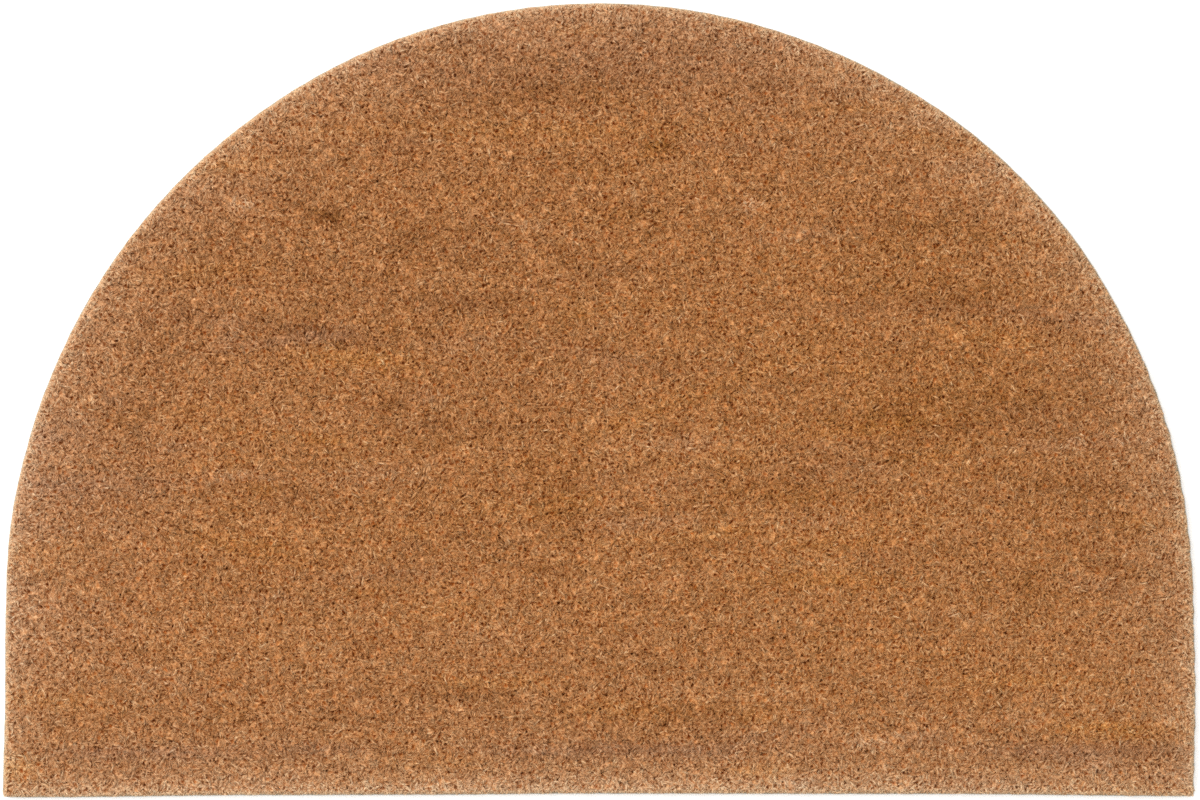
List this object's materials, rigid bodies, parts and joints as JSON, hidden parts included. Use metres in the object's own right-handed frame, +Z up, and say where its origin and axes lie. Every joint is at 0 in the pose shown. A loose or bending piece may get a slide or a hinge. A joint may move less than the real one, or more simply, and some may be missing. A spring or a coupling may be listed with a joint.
{
  "type": "half round doormat",
  "caption": "Flat half round doormat of dense cut coir pile, bonded into a thin PVC backing that rests on the floor.",
  "frame": {"origin": "middle of the underside, where the mat rests on the floor", "axes": "+X along the straight edge, +Y from the straight edge to the crown of the arc, +Z up out of the pile"},
  "size_m": [0.9001, 0.5995, 0.015],
  "materials": {
    "pvc": "matte",
    "coir": "matte"
  },
  "bodies": {
    "root": {"backing": "pvc", "pile": "coir"}
  },
  "joints": []
}
